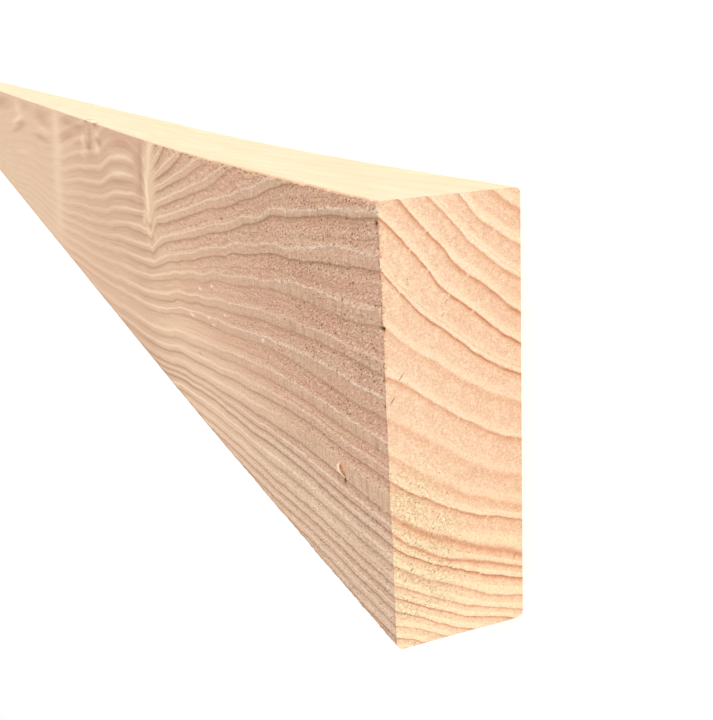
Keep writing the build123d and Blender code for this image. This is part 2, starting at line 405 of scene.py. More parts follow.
# the torn chip: a lifted flake with a hole below it
hole = np.exp(-(((S - 41.0) / 3.0) ** 2 + ((V0 - 99.6) / 1.5) ** 2) ** 2)
lift -= on_top * 1.2 * hole
for s0, v0, h in ((52, 102.5, 0.6), (203, 62, 0.8), (183, 71, 0.7), (214, 79, 0.6), (205, 80, 0.6), (124, 70, 0.6), (228, 67, 0.6), (250, 85, 0.6)):
    r = max(1.3, 0.010 * s0)
    lift += on_top * h * np.exp(-(((S - s0) / r) ** 2 + ((V0 - v0) / 1.3) ** 2))

V1 = V0 + NV * lift + dV
W1 = W0 + NW * lift + dW
S1 = S.copy()
# the cut end is not quite clean along its arrises
nick = np.clip(0.3 + 0.8 * noise(V0 / 1.4, W0 / 1.4, 0.3), 0, 1) * on_top + 0.4 * np.clip(0.2 + 0.6 * noise(V0 / 2.1, W0 / 2.1, 5.3), 0, 1) * (1 - on_top)
S1[0] = 0.10 + 0.35 * nick[0]
S1[1] = np.maximum(S1[1], S1[0] + 0.2)

verts = [np.stack([S1, V1, W1], -1).reshape(-1, 3)]
base = [np.stack([S, V0, W0], -1).reshape(-1, 3)]
face_of = [np.repeat(FACE.reshape(-1), 1)]
quads, tris, quad_mat, tri_mat = [], [], [], []
i = np.arange(ns - 1)[:, None] * nc
j = np.arange(nc)[None, :]
j2 = (j + 1) % nc
q = np.stack([i + j, i + j2, i + nc + j2, i + nc + j], -1).reshape(-1, 4)
quads.append(q)
fid = SEC[:, 4].astype(int)
col_face = np.where(fid == np.roll(fid, -1), fid, np.minimum(fid, np.roll(fid, -1)))
col_face[(fid == 3) & (np.roll(fid, -1) == 0)] = 3
MAT = {0: 1, 1: 2, 2: 1, 3: 2}
quad_mat.append(np.tile([MAT[f] for f in col_face], ns - 1))


def cap(s_at, nv, nw, far):
    """A grid over an end, and the strip of triangles that joins it to the body's last ring."""
    count = sum(len(x) for x in verts)
    gv, gw = np.linspace(0.7, WIDTH - 0.7, nv), np.linspace(0.7, THICK - 0.7, nw)
    v, w = np.meshgrid(gv, gw, indexing="ij")
    for cv, cw, r in ((R_A, R_A, R_A), (WIDTH - R_B, R_B, R_B), (WIDTH - R_C, THICK - R_C, R_C), (R_D, THICK - R_D, R_D)):
        inset = max(r - 0.7, 0.05)
        out = ((v < cv) if cv < WIDTH / 2 else (v > cv)) & ((w < cw) if cw < THICK / 2 else (w > cw))
        dist = np.hypot(v - cv, w - cw)
        k = np.where(out & (dist > inset), inset / np.maximum(dist, 1e-9), 1.0)
        v, w = cv + (v - cv) * k, cw + (w - cw) * k
    s = np.full_like(v, s_at)
    ph, gp = ring_field(s, v, w)
    dl = (np.mod(ph + 0.5, 1.0) - 0.5) * gp
    side = 1.0 if far else -1.0
    h = 0.10 * np.exp(-((dl / 0.9) ** 2)) + 0.05 * noise(v / 1.2, w / 1.2, 2.2) + 0.06 * noise(v / 6.0, w / 6.0, 4.2)
    verts.append(np.stack([s + side * h - side * 0.05, v, w], -1).reshape(-1, 3))
    base.append(np.stack([s, v, w], -1).reshape(-1, 3))
    face_of.append(np.full(nv * nw, 4.0))
    a = np.arange(nv - 1)[:, None] * nw + np.arange(nw - 1)[None, :] + count
    qd = np.stack([a, a + 1, a + nw + 1, a + nw], -1).reshape(-1, 4)
    quads.append(qd[:, ::-1] if not far else qd)
    quad_mat.append(np.zeros(len(qd), int))
    # the grid's rim, in the outline's order: down the w=0 side, across v=WIDTH, back up, across v=0
    rim = [(p, 0) for p in range(nv)] + [(nv - 1, p) for p in range(1, nw)] + [(p, nw - 1) for p in range(nv - 2, -1, -1)] + [(0, p) for p in range(nw - 2, 0, -1)]
    rim_id = np.array([p * nw + r + count for p, r in rim])
    ring = np.arange(nc) + (0 if not far else (ns - 1) * nc)

    def along(vv, ww):
        """Place round the section, 0 to 4, for sorting the two loops together."""
        cv, cw = vv / WIDTH, ww / THICK
        edge = np.argmin(np.stack([ww, WIDTH - vv, THICK - ww, vv], -1), 1)
        return np.choose(edge, [cv, 1 + cw, 2 + 1 - cv, 3 + 1 - cw])

    rim_vw = base[-1][rim_id - count][:, 1:]
    ta = along(SEC[:, 0], SEC[:, 1])
    tb = along(rim_vw[:, 0], rim_vw[:, 1])
    ta, tb = np.mod(ta, 4), np.mod(tb, 4)
    # both loops start just after the same corner
    sa, sb = int(np.argmin(ta)), int(np.argmin(tb))
    A, B = np.roll(ring, -sa), np.roll(rim_id, -sb)
    ta, tb = np.maximum.accumulate(np.roll(ta, -sa)), np.maximum.accumulate(np.roll(tb, -sb))
    x = y = 0
    out = []
    while x < len(A) or y < len(B):
        na = ta[x + 1] if x + 1 < len(A) else 4 + ta[0]
        nb = tb[y + 1] if y + 1 < len(B) else 4 + tb[0]
        if y >= len(B) or (x < len(A) and na <= nb):
            out.append((A[x % len(A)], A[(x + 1) % len(A)], B[y % len(B)]))
            x += 1
        else:
            out.append((A[x % len(A)], B[(y + 1) % len(B)], B[y % len(B)]))
            y += 1
    out = np.array(out)
    tris.append(out[:, ::-1] if not far else out)
    tri_mat.append(np.zeros(len(out), int))


cap(0.0, 190, 61, False)
cap(LENGTH, 49, 17, True)



def sliver(points, widths, thick):
    """A torn splinter of wood: a closed flat spindle along points in plank coordinates."""
    count = sum(len(x) for x in verts)
    pts = np.array(points, float)
    n, sides = len(pts), 6
    rows = []
    for i in range(n):
        for j in range(sides):
            a = 2 * math.pi * j / sides
            rows.append(pts[i] + np.array([widths[i] * math.cos(a), 0.15 * widths[i] * math.cos(a), -thick * math.sin(a) * (0.3 + widths[i] / max(widths))]))
    rows += [pts[0], pts[-1]]
    rows = np.array(rows)
    verts.append(rows)
    base.append(rows)
    face_of.append(np.full(len(rows), 3.0))
    qd = [(count + i * sides + j, count + i * sides + (j + 1) % sides, count + (i + 1) * sides + (j + 1) % sides, count + (i + 1) * sides + j) for i in range(n - 1) for j in range(sides)]
    quads.append(np.array(qd))
    quad_mat.append(np.full(len(qd), 2))
    tip, tail = count + n * sides, count + n * sides + 1
    tr = [(tip, count + (j + 1) % sides, count + j) for j in range(sides)] + [(tail, count + (n - 1) * sides + j, count + (n - 1) * sides + (j + 1) % sides) for j in range(sides)]
    tris.append(np.array(tr))
    tri_mat.append(np.full(len(tr), 2))


sliver([(43.4, 94.6, 0.3), (42.8, 95.3, -0.8), (41.9, 96.1, -1.2), (41.0, 96.9, -1.3), (39.6, 97.4, -1.0), (38.6, 97.9, -0.7), (37.8, 98.3, -0.3), (37.2, 98.7, 0.4)], [0.5, 1.1, 1.3, 1.3, 1.2, 1.0, 0.7, 0.3], 0.28)
sliver([(39.6, 89.9, 0.4), (38.8, 90.5, -0.4), (38.2, 91.2, 0.4)], [0.3, 0.5, 0.3], 0.15)
sliver([(53.4, 102.5, 0.5), (52.9, 103.0, -0.5), (52.2, 103.6, -0.4), (51.6, 104.0, 0.5)], [0.3, 0.5, 0.5, 0.2], 0.18)
verts, base, face_of = np.concatenate(verts), np.concatenate(base), np.concatenate(face_of)
polys = [tuple(int(n) for n in f) for part in quads for f in part] + [tuple(int(n) for n in f) for part in tris for f in part]
mats = np.concatenate(quad_mat + tri_mat).astype(np.int32)

mesh = bpy.data.meshes.new("plank_wood")
xyz = place(verts[:, 0], verts[:, 1], verts[:, 2])
mesh.from_pydata([tuple(p) for p in xyz.tolist()], [], polys)
import bmesh
bm = bmesh.new()
bm.from_mesh(mesh)
bmesh.ops.recalc_face_normals(bm, faces=bm.faces)
bm.to_mesh(mesh)
bm.free()
mesh.polygons.foreach_set("material_index", mats)
mesh.polygons.foreach_set("use_smooth", np.ones(len(mesh.polygons), bool))
mesh.set_sharp_from_angle(angle=math.radians(50))


def put(name, values, kind="FLOAT", key="value"):
    att = mesh.attributes.new(name, kind, "POINT")
    att.data.foreach_set(key, np.ascontiguousarray(values, dtype=np.float32).ravel())


ph, gp = ring_field(base[:, 0], base[:, 1], base[:, 2])
put("plank_mm", base, "FLOAT_VECTOR", "vector")
put("ring", ph)
put("ring_gap", gp)
for name, values in zip(("l_dark", "l_soft", "l_glow", "l_cream", "l_hair"), line_look(ph)):
    put(name, values)
top_share = np.where((base[:, 2] < 8), 1.0, 0.0)
pale, pink = blotch_fields(base[:, 0], base[:, 1])
crest_highlight_k, tall = band_look(ph, base[:, 0])
put("l_crest_highlight", crest_highlight_k)
put("l_tall", tall)
put("hush", hush_field(base[:, 0], base[:, 1]))
put("pale", pale * top_share)
put("pink", pink * top_share)
mesh.update()

plank = bpy.data.objects.new("wood_plank", mesh)
bpy.context.scene.collection.objects.link(plank)


# ---------------------------------------------------------------- shader arithmetic
def lin(r, g, b):
    """An sRGB colour of 0 to 255 as the linear RGBA that nodes take."""
    f = lambda c: c / 12.92 if c <= 0.04045 else ((c + 0.055) / 1.055) ** 2.4
    return (f(r / 255.0), f(g / 255.0), f(b / 255.0), 1.0)


class Val:
    """A socket's value that can be used in sums."""

    def __init__(self, tree, out):
        self.tree, self.out = tree, out

    def _math(self, op, *others, clamp=False):
        n = self.tree.nodes.new("ShaderNodeMath")
        n.operation = op
        n.use_clamp = clamp
        for k, x in enumerate((self,) + others):
            feed(self.tree, n.inputs[k], x)
        return Val(self.tree, n.outputs[0])

    def __add__(self, o): return self._math("ADD", o)
    __radd__ = __add__
    def __sub__(self, o): return self._math("SUBTRACT", o)
    def __rsub__(self, o): return (self * -1.0) + o
    def __mul__(self, o): return self._math("MULTIPLY", o)
    __rmul__ = __mul__
    def __truediv__(self, o): return self._math("DIVIDE", o)
    def __neg__(self): return self * -1.0
    def sq(self): return self * self
    def exp(self): return self._math("EXPONENT")
    def fract(self): return self._math("FRACT")
    def floor(self): return self._math("FLOOR")
    def abs(self): return self._math("ABSOLUTE")
    def sin(self): return self._math("SINE")
    def cos(self): return self._math("COSINE")
    def pow(self, o): return self._math("POWER", o)
    def max(self, o): return self._math("MAXIMUM", o)
    def min(self, o): return self._math("MINIMUM", o)
    def clamp(self): return self._math("ADD", 0.0, clamp=True)

    def step(self, a, b):
        n = self.tree.nodes.new("ShaderNodeMapRange")
        n.interpolation_type = "SMOOTHSTEP"
        feed(self.tree, n.inputs[0], self)
        n.inputs[1].default_value, n.inputs[2].default_value = a, b
        n.inputs[3].default_value, n.inputs[4].default_value = 0.0, 1.0
        return Val(self.tree, n.outputs[0])


def feed(tree, socket, x):
    if isinstance(x, Val):
        tree.links.new(x.out, socket)
    else:
        socket.default_value = x


class Wood:
    """A material's tree with the plank's fields at hand."""

    def __init__(self, name):
        self.mat = bpy.data.materials.new(name)
        self.mat.use_nodes = True
        self.tree = self.mat.node_tree
        self.tree.nodes.clear()
        self.outp = self.tree.nodes.new("ShaderNodeOutputMaterial")
        self.bsdf = self.tree.nodes.new("ShaderNodeBsdfPrincipled")
        self.tree.links.new(self.bsdf.outputs[0], self.outp.inputs[0])
        n = self.tree.nodes.new("ShaderNodeAttribute")
        n.attribute_name = "plank_mm"
        sep = self.tree.nodes.new("ShaderNodeSeparateXYZ")
        self.tree.links.new(n.outputs["Vector"], sep.inputs[0])
        self.s, self.v, self.w = (Val(self.tree, sep.outputs[i]) for i in range(3))

    def field(self, name):
        n = self.tree.nodes.new("ShaderNodeAttribute")
        n.attribute_name = name
        return Val(self.tree, n.outputs["Fac"])

    def vec(self, x, y, z):
        n = self.tree.nodes.new("ShaderNodeCombineXYZ")
        for k, c in enumerate((x, y, z)):
            feed(self.tree, n.inputs[k], c)
        return Val(self.tree, n.outputs[0])

    def noise(self, at, scale=1.0, detail=2.0, rough=0.5, distortion=0.0):
        """Noise of 0 to 1 about 0.5."""
        n = self.tree.nodes.new("ShaderNodeTexNoise")
        feed(self.tree, n.inputs["Vector"], at)
        n.inputs["Scale"].default_value = scale
        n.inputs["Detail"].default_value = detail
        n.inputs["Roughness"].default_value = rough
        n.inputs["Distortion"].default_value = distortion
        return Val(self.tree, n.outputs[0])

    def cells(self, at, scale=1.0, feature="F1", randomness=1.0):
        """(distance, cell's random number) of a Voronoi pattern."""
        n = self.tree.nodes.new("ShaderNodeTexVoronoi")
        n.feature = feature
        feed(self.tree, n.inputs["Vector"], at)
        n.inputs["Scale"].default_value = scale
        n.inputs["Randomness"].default_value = randomness
        sep = self.tree.nodes.new("ShaderNodeSeparateColor")
        self.tree.links.new(n.outputs["Color"], sep.inputs[0])
        return Val(self.tree, n.outputs["Distance"]), Val(self.tree, sep.outputs[0])

    def mix(self, fac, a, b, blend="MIX"):
        n = self.tree.nodes.new("ShaderNodeMix")
        n.data_type = "RGBA"
        n.blend_type = blend
        n.clamp_factor = True
        feed(self.tree, n.inputs[0], fac)
        feed(self.tree, n.inputs[6], a)
        feed(self.tree, n.inputs[7], b)
        return Val(self.tree, n.outputs[2])

    def finish(self, colour, rough, height=None, distance=0.001, strength=1.0, specular=0.3):
        feed(self.tree, self.bsdf.inputs["Base Color"], colour)
        feed(self.tree, self.bsdf.inputs["Roughness"], rough)
        self.bsdf.inputs["Specular IOR Level"].default_value = specular
        if height is not None:
            b = self.tree.nodes.new("ShaderNodeBump")
            b.inputs["Strength"].default_value = strength
            b.inputs["Distance"].default_value = distance
            feed(self.tree, b.inputs["Height"], height)
            self.tree.links.new(b.outputs[0], self.bsdf.inputs["Normal"])
        return self.mat


# Pale rays that cut the dark lines on the near end, as (w, v), and thin radial checks as (w, v, half length, half width).
RAYS = [(9.5, 15.2), (15.2, 21.8), (22.0, 30.0), (30.0, 36.2), (15.0, 9.8), (28.5, 24.6), (38.0, 12.0), (5.5, 27.4), (20, 99.6), (34, 105), (31, 124.8), (14, 117.2), (24, 70)]
CHECKS = [(5.2, 53.2, 1.4, 0.11), (2.0, 60.2, 1.2, 0.11), (21.0, 32.0, 0.8, 0.08), (19.6, 36.0, 0.6, 0.08), (44.0, 121.5, 0.8, 0.09)]


# Small marks on the +Z face, as (s, v, half length, half height, shade): -1 painted shade in small holes and dents, 1
# painted highlight on pale lifted splinters, 2 an orange stain, 3 fainter painted shade.
MARKS = [(0.6, 37.8, 2.6, 0.5, -1), (2.0, 6.6, 0.9, 0.8, -1), (0.7, 2.2, 1.0, 1.8, 1), (0.4, 62.0, 1.2, 0.4, -1),
         (39.9, 100.2, 1.5, 1.0, -1), (44.4, 97.4, 0.9, 0.8, -1), (41.4, 98.9, 1.5, 0.6, -1), (38.6, 98.9, 1.2, 0.5, -1), (37.4, 95.2, 2.4, 1.6, 2),
         (203, 61, 2.0, 0.6, 1), (203, 62.4, 1.6, 0.5, 3), (183, 71, 2.0, 0.5, 1), (214, 79, 2.2, 0.6, 1), (205, 80.5, 2.0, 0.5, 1), (124, 69, 1.4, 0.6, 1), (228, 67, 2.4, 0.6, 1), (250, 85, 4.5, 0.6, 1), (241, 104, 2.2, 0.5, 3)]


def end_grain():
    m = Wood("end_grain")
    s, v, w = m.s, m.v, m.w
    gap, phase = m.field("ring_gap"), m.field("ring")
    at = m.vec(v, w, s * 0.2)
    wob = (m.noise(at, 0.20, 2.0) - 0.5) * 0.9 + (m.noise(at, 1.6, 2.0) - 0.5) * 0.34
    k = (gap * 0.105).min(1.0).max(0.36)
    d = ((phase + 0.5).fract() - 0.5) * gap * 0.78 + wob
    u = d / k
    up, down = u.min(0.0), u.max(0.0)
    soft = m.field("l_soft")
    blur = (soft - 1.3).max(0.0)
    # along the ring and across it
    along, across = w * 0.788 + v * 0.616, v * 0.788 - w * 0.616
    ray = m.noise(m.vec(along * 1.7, across * 0.12, 0.0), 1.0, 2.0, 0.6)
    gaps = None
    for w0, v0 in RAYS:
        a0, c0 = w0 * 0.788 + v0 * 0.616, v0 * 0.788 - w0 * 0.616
        g = (((along - a0) / 0.42).sq() * -1.0 - ((across - c0) / 2.6).sq()).exp()
        gaps = g if gaps is None else gaps + g
    checks = None
    for w0, v0, half, thin in CHECKS:
        a0, c0 = w0 * 0.788 + v0 * 0.616, v0 * 0.788 - w0 * 0.616
        g = (((along - a0) / thin).sq() * -1.0 - ((across - c0) / half).sq().sq()).exp()
        checks = g if checks is None else checks + g
    low = v.step(84.0, 112.0)
    vary = m.noise(at, 0.30, 2.0)
    dark = ((up / (blur * 0.8 + 0.34)).sq() * -1.0 - (down / (soft * 0.75)).pow(1.3)).exp() * m.field("l_dark")
    dark = dark * (1.0 - gaps * 0.8).clamp() * (vary * 0.9 + 0.5)
    glow = ((up / (blur * 1.0 + 0.5)).sq() * -1.0 - down / (blur * 0.8 + 1.15)).exp() * m.field("l_glow")
    low2 = v.step(92.0, 112.0)
    cream = (((u + 1.75 + low2 * 0.9) / (low2 * 0.8 + 1.25)).sq() * -1.0).exp() * m.field("l_cream") * (vary * 0.8 + 0.45 + low2 * 0.3)
    corner = (1.0 - v.step(16.0, 34.0)) * w.step(14.0, 30.0)
    hair = (((u + 1.8) / 0.30).sq() * -1.0).exp() * m.field("l_hair") * (vary * 0.8 + 0.3)
    lip = (((u + 1.0) / 0.55).sq() * -1.0).exp() * m.field("l_cream") * (vary + 0.3)
    fine = m.noise(at, 0.95, 2.0, 0.75)
    finer = m.noise(at, 2.2, 1.0, 0.5)
    blot = m.noise(at, 0.33, 3.0, 0.6)
    spots, pick = m.cells(at, 1.35)
    left = v.step(74.0, 92.0) * (1.0 - w.step(6.0, 26.0)) * (1.0 - v.step(112.0, 120.0) * 0.6)
    rich = (left + v.step(96.0, 104.0) * (1.0 - v.step(128.0, 138.0)) * (1.0 - w.step(12.0, 34.0) * 0.8) * 0.85 + (((w - 6.5) / 4.0).sq() * -1.0 - ((v - 23.0) / 5.0).sq()).exp() * 0.45).min(1.0)
    # small pits in the end grain; their dark colour is painted shade in the hollows
    pits = (0.36 - spots).clamp() * 3.0 * (pick - 0.95 + rich * 0.16 * (vary + 0.5)).step(0.0, 0.12)
    # short strokes across the rings where the cut is rough: pale ones are painted highlight, dark ones painted shade
    emb = m.noise(m.vec(along * 1.35, across * 0.75, 0.0), 1.0, 3.0, 0.7)
    clump = m.noise(m.vec(along * 0.16, across * 0.34, 3.0), 1.0, 2.0, 0.6).step(0.40, 0.60)
    rough = rich * (clump * 0.8 + 0.2) * (1.0 - (dark + glow * 0.4) * 0.6).clamp()
    streak = m.noise(m.vec(along * 0.035, phase * 8.0, 0.0), 1.0, 2.0, 0.6)
    base = m.mix(m.noise(at, 0.07, 2.0).step(0.35, 0.65), lin(220, 184, 154), lin(224, 189, 160))
    base = m.mix(streak.step(0.50, 0.68) * (0.25 + low * 0.3), base, lin(244, 214, 178))
    base = m.mix(streak.step(0.50, 0.34) * (0.18 + low * 0.3), base, lin(220, 166, 128))
    base = m.mix(low * 0.5, base, lin(230, 192, 154))
    base = m.mix(v.step(116.0, 134.0) * 0.78, base, lin(236, 208, 172))
    base = m.mix(left * 0.5, base, lin(236, 204, 160))
    base = m.mix(glow * (low2 * 0.25 + 0.50), base, m.mix(low2, lin(222, 164, 122), lin(228, 160, 116)))
    base = m.mix((cream * 0.85).clamp(), base, m.mix(low2, lin(242, 218, 187), lin(246, 228, 186)))
    base = m.mix((lip * 0.70).clamp(), base, lin(248, 226, 197))
    base = m.mix((cream * corner * 0.55).clamp(), base, lin(255, 236, 206))
    grain = (1.0 - cream * 0.45) * (0.8 + rich * 0.5)
    base = m.mix(fine.step(0.49, 0.32) * grain * 0.58, base, lin(196, 152, 122))
    base = m.mix(fine.step(0.52, 0.66) * grain * 0.72, base, lin(250, 226, 190))
    base = m.mix(finer.step(0.50, 0.32) * grain * 0.45, base, lin(188, 144, 116))
    base = m.mix(rough * 0.30, base, lin(246, 222, 172))
    # painted highlight and painted shade on the rough strokes
    base = m.mix(emb.step(0.51, 0.60) * rough * 0.95, base, lin(255, 240, 192))
    base = m.mix(emb.step(0.47, 0.36) * rough * 0.85, base, lin(176, 134, 94))
    tint = m.noise(at, 1.7, 1.0, 0.5)
    base = m.mix(tint.step(0.52, 0.64) * (0.42 - rough * 0.34), base, lin(240, 180, 152))
    base = m.mix(tint.step(0.48, 0.36) * (0.42 - rough * 0.34), base, lin(240, 216, 166))
    base = m.mix(blot.step(0.5, 0.64) * 0.40, base, lin(244, 208, 176))
    base = m.mix(blot.step(0.5, 0.36) * 0.25, base, lin(222, 176, 146))
    base = m.mix(ray.step(0.62, 0.80) * 0.25, base, lin(246, 216, 184))
    base = m.mix((gaps * 0.35).clamp(), base, lin(244, 206, 172))
    base = m.mix((hair * 0.5).clamp(), base, lin(186, 150, 122))
    base = m.mix((dark * 1.0).clamp(), base, lin(190, 120, 80))
    # painted shade in the pits
    base = m.mix((pits * 0.60).clamp(), base, lin(170, 132, 92))
    base = m.mix((checks * 0.6).clamp(), base, lin(160, 114, 84))
    # bristles of the wide face's saw marks along the arris
    teeth = m.noise(m.vec(v * 1.15, w * 0.6, 0.0), 1.0, 1.0)
    reach = (teeth - 0.51) * 2.8 - v.step(46.0, 80.0) * 1.2
    base = m.mix((1.0 - (w - reach).step(-0.1, 0.4)) * 0.60, base, lin(176, 120, 88))
    height = fine * 0.6 + finer * (rich * 0.2 + 0.3) + emb * rough * 1.3 + cream * 0.2 - pits * 0.8 - dark * 0.15 - checks * 0.8
    return m.finish(base, 0.75, height, 0.0007, 0.9)


def wide_face():
    m = Wood("wide_face_grain")
    s, v, w = m.s, m.v, m.w
    gap, phase = m.field("ring_gap"), m.field("ring")
    near = 1.0 - s.step(70.0, 300.0)
    wob = (m.noise(m.vec(s * 0.05, v * 0.2, w), 1.0, 2.0) - 0.5) * 1.4 + (m.noise(m.vec(s * 0.35, v * 0.8, w), 1.0, 3.0, 0.7) - 0.5) * 2.6
    wide = (gap * 0.16 - 0.75).clamp()  # 0 for rings under 5 mm apart, 1 over 11
    k = (gap * 0.10).min(1.0).max(0.36)
    turn = (phase + 0.4).fract() - 0.4
    u0 = ((turn - (turn - 0.42).step(0.0, 0.02)) * gap) / k
    u = u0 + wob * 0.45
    up, down = u.min(0.0), u.max(0.0)
    tall = m.field("l_tall")
    far, away = s.step(90.0, 260.0), s.step(300.0, 520.0)
    clear = 1.0 - m.field("hush")
    mild = s.step(190.0, 330.0)
    lowf = v.step(90.0, 106.0)
    low = v.step(84.0, 104.0) * near
    band = (u0 / tall + wob * 0.8 + 4.2).step(0.0, 1.0) * (1.0 - (u + 0.1).step(0.0, 0.7))
    # painted highlight: a pale line along the crest of each raised band, where the grazing key light would catch it
    crest_highlight = (((u0 + wob * (wide * 0.5 + 0.55) + tall * 4.1 - away * 0.2) / (away * 0.9 + mild * 0.3 + 0.66 + lowf * 0.25)).sq() * -1.0).exp() * m.field("l_crest_highlight") * clear
    # the dark line under each raised band: partly the latewood's own colour, partly painted shade below the band's step
    dark = ((up / (away * 0.9 + mild * 0.25 + 0.30 + lowf * 0.5)).sq() * -1.0 - down / (away * 2.4 + mild * 0.5 + 0.7 + lowf * 0.9)).exp() * (m.field("l_dark") * 0.6 + 0.4) * clear
    glow = ((up / 0.7).sq() * -1.0 - down / 3.0).exp() * m.field("l_glow") * clear
    # strokes of torn fibre, lying a little off the grain: pale ones are painted highlight on the raised fibres, dark
    # ones painted shade between them
    a1, a2 = s * 0.93 + v * 0.36, v * 0.93 - s * 0.36
    stroke = m.noise(m.vec(a1 * 0.34, a2 * 1.15, w), 1.0, 3.0, 0.65)
    stroke2 = m.noise(m.vec(a1 * 0.55, a2 * 1.5, w + 7.0), 1.0, 2.0, 0.6)
    tiny = m.noise(m.vec(a1 * 0.9, a2 * 2.6, w + 3.0), 1.0, 2.0, 0.6)
    holes, pick = m.cells(m.vec(a1 * 0.42, a2 * 0.95, w), 1.0)
    thread = m.noise(m.vec(s * 0.022, phase * 17.0, 0.0), 1.0, 3.0, 0.7)
    # bigger tears farther along, near the arris
    torn = m.noise(m.vec(s * 0.16 + v * 0.10, v * 0.62 - s * 0.03, w + 4.0), 1.0, 3.0, 0.7)
    tears = s.step(70.0, 170.0) * (1.0 - s.step(285.0, 345.0)) * (1.0 - (v - s * 0.10).step(18.0, 52.0)) * (1.0 - band * 0.5)
    rip = m.noise(m.vec(s * 0.03, v * 0.09, w + 5.0), 1.0, 2.0)
    patchy = m.noise(m.vec(s * 0.022, v * 0.05, w + 11.0), 1.0, 2.0).step(0.30, 0.62)
    band = band * (0.35 + patchy * 0.65) * clear
    calm = v.step(58.0, 100.0) * 0.38
    fuzz = (1.0 - band * 0.62 * wide) * (near * 0.8 + 0.2) * (1.0 - calm)
    streak = m.noise(m.vec(s * 0.008, phase * 8.0, 0.0), 1.0, 2.0, 0.65)
    # small pits in the torn fibre; their dark colour is painted shade in the hollows
    holes_shaded = (0.36 - holes).clamp() * 3.4 * (pick - 0.78 + rip.step(0.4, 0.65) * 0.32).step(0.0, 0.15) * fuzz * near
    saw = m.noise(m.vec(s * 0.75, v * 0.03, w), 1.0, 1.0)
    big = m.noise(m.vec(s * 0.012, v * 0.05, w), 1.0, 2.0)
    hue = m.noise(m.vec(s * 0.03, v * 0.07, w + 2.0), 1.0, 2.0)
    # the wide faces' base tone is darker than the end's: partly the rough sawn wood's own tone, partly painted shade
    base = m.mix(big.step(0.35, 0.65), lin(218, 172, 143), lin(224, 180, 151))
    base = m.mix(hue.step(0.45, 0.62) * (1.0 - v.step(70.0, 100.0) * 0.8) * (0.45 - far * 0.35), base, lin(216, 162, 136))
    base = m.mix(hue.step(0.5, 0.36) * 0.5, base, lin(218, 180, 144))
    base = m.mix(v.step(82.0, 112.0) * 0.88, base, lin(242, 210, 180))
    base = m.mix(s.step(80.0, 420.0) * 0.72, base, lin(222, 190, 157))
    base = m.mix(s.step(335.0, 385.0) * (1.0 - s.step(540.0, 760.0) * 0.7) * 0.50, base, lin(204, 166, 138))
    base = m.mix(s.step(560.0, 900.0) * 0.6, base, lin(226, 194, 162))
    base = m.mix(streak.step(0.50, 0.66) * (0.40 - far * 0.2), base, lin(236, 204, 176))
    base = m.mix(streak.step(0.50, 0.34) * (0.40 - far * 0.2), base, lin(192, 148, 120))
    base = m.mix(glow * 0.25, base, lin(192, 142, 116))
    base = m.mix(thread.step(0.51, 0.63) * low * 0.72, base, lin(250, 220, 190))
    base = m.mix(thread.step(0.45, 0.33) * low * 0.48, base, lin(172, 130, 102))
    haze = v.step(44.0, 84.0) * far * (1.0 - s.step(500.0, 900.0))
    base = m.mix(thread.step(0.50, 0.64) * haze * 0.42, base, lin(240, 208, 178))
    base = m.mix(thread.step(0.48, 0.34) * haze * 0.42, base, lin(190, 148, 120))
    base = m.mix(v.step(70.0, 130.0) * s.step(240.0, 420.0) * (1.0 - s.step(620.0, 900.0)) * 0.35, base, lin(220, 178, 148))
    rosy = ((((phase - 12.5) / 0.55).sq() * -1.0).exp() + (((phase - 17.4) / 0.4).sq() * -1.0).exp() * 0.6) * near
    base = m.mix(rosy * 0.38, base, lin(210, 150, 124))
    base = m.mix(band * (wide * 0.55 + 0.15) * near, base, lin(200, 166, 138))
    # farther along, the raised band is darker: partly its own tone, partly painted shade below the crest
    base = m.mix(band * (1.0 - near) * 0.35, base, lin(200, 160, 130))
    base = m.mix(saw.step(0.48, 0.66) * band * wide * near * 0.54, base, lin(168, 134, 108))
    base = m.mix(saw.step(0.46, 0.30) * band * wide * near * 0.40, base, lin(226, 196, 168))
    # painted highlight on raised fibre strokes, then painted shade between them
    base = m.mix(stroke.step(0.50, 0.62) * fuzz * 0.62, base, lin(250, 220, 196))
    base = m.mix(stroke2.step(0.50, 0.62) * fuzz * 0.62, base, lin(164, 114, 86))
    base = m.mix(tiny.step(0.50, 0.64) * fuzz * 0.45, base, lin(158, 108, 82))
    base = m.mix(torn.step(0.53, 0.66) * tears * 0.60, base, lin(246, 216, 186))
    base = m.mix(torn.step(0.45, 0.32) * tears * 0.65, base, lin(146, 102, 76))
    crest_on = ((tiny * 0.6 + stroke * 0.6).step(0.41, 0.60) * near + (1.0 - near)).max((1.0 - wide) * (stroke.step(0.34, 0.54) * 0.5 + 0.5))
    edge = (1.0 - (v + (stroke - 0.5) * 9.0).step(0.8, 3.6)) * s.step(30.0, 110.0) * (1.0 - s.step(330.0, 352.0))
    base = m.mix(torn.step(0.49, 0.60) * edge * 0.55, base, lin(240, 200, 146))
    base = m.mix(torn.step(0.49, 0.38) * edge * 0.62, base, lin(136, 88, 58))
    bold = ((((s - 290.0) / 60.0).sq() * -1.0) - ((v - 14.0) / 26.0).sq()).exp()
    # painted highlight on the band crests
    base = m.mix((crest_highlight * crest_on * (0.9 - far * 0.15 - away * 0.33 - s.step(560.0, 820.0) * 0.25)).clamp(), base, m.mix(far, lin(252, 222, 196), lin(242, 212, 182)))
    # dark line: partly latewood colour, partly painted shade under the raised band
    base = m.mix((dark * (1.0 - wide * 0.25 - lowf * 0.22 * near - far * 0.28 + bold * 0.35 - away * 0.33 - s.step(560.0, 820.0) * 0.08)).clamp(), base, lin(150, 106, 78))
    base = m.mix((glow * bold * 0.6).clamp(), base, lin(168, 124, 96))
